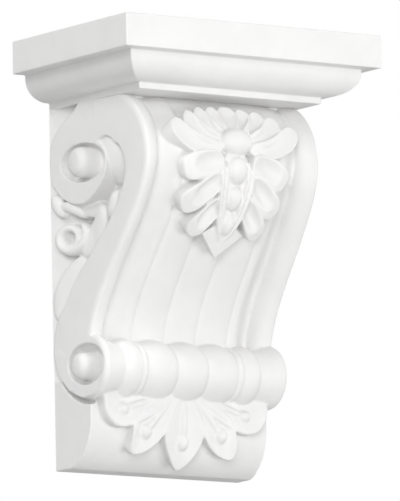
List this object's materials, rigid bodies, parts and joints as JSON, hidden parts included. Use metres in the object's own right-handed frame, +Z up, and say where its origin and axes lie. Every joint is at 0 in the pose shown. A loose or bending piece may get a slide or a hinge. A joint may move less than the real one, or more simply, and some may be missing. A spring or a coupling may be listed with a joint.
{
  "type": "corbel bracket",
  "caption": "White moulded corbel: a square stepped cap on an S-scroll bracket with a fluted front, side volutes, a leaf, a turned roll and a palmette foot, fixed flat to a wall.",
  "frame": {"origin": "middle of the flat back face, on the wall plane", "axes": "+Y into the wall, +Z up, +X to the right for someone facing the corbel"},
  "size_m": [0.18, 0.119, 0.252],
  "materials": {
    "white_primer": "smooth white primer, satin to matt, with softened arrises"
  },
  "bodies": {
    "root": {"corbel": "white_primer"}
  },
  "joints": []
}
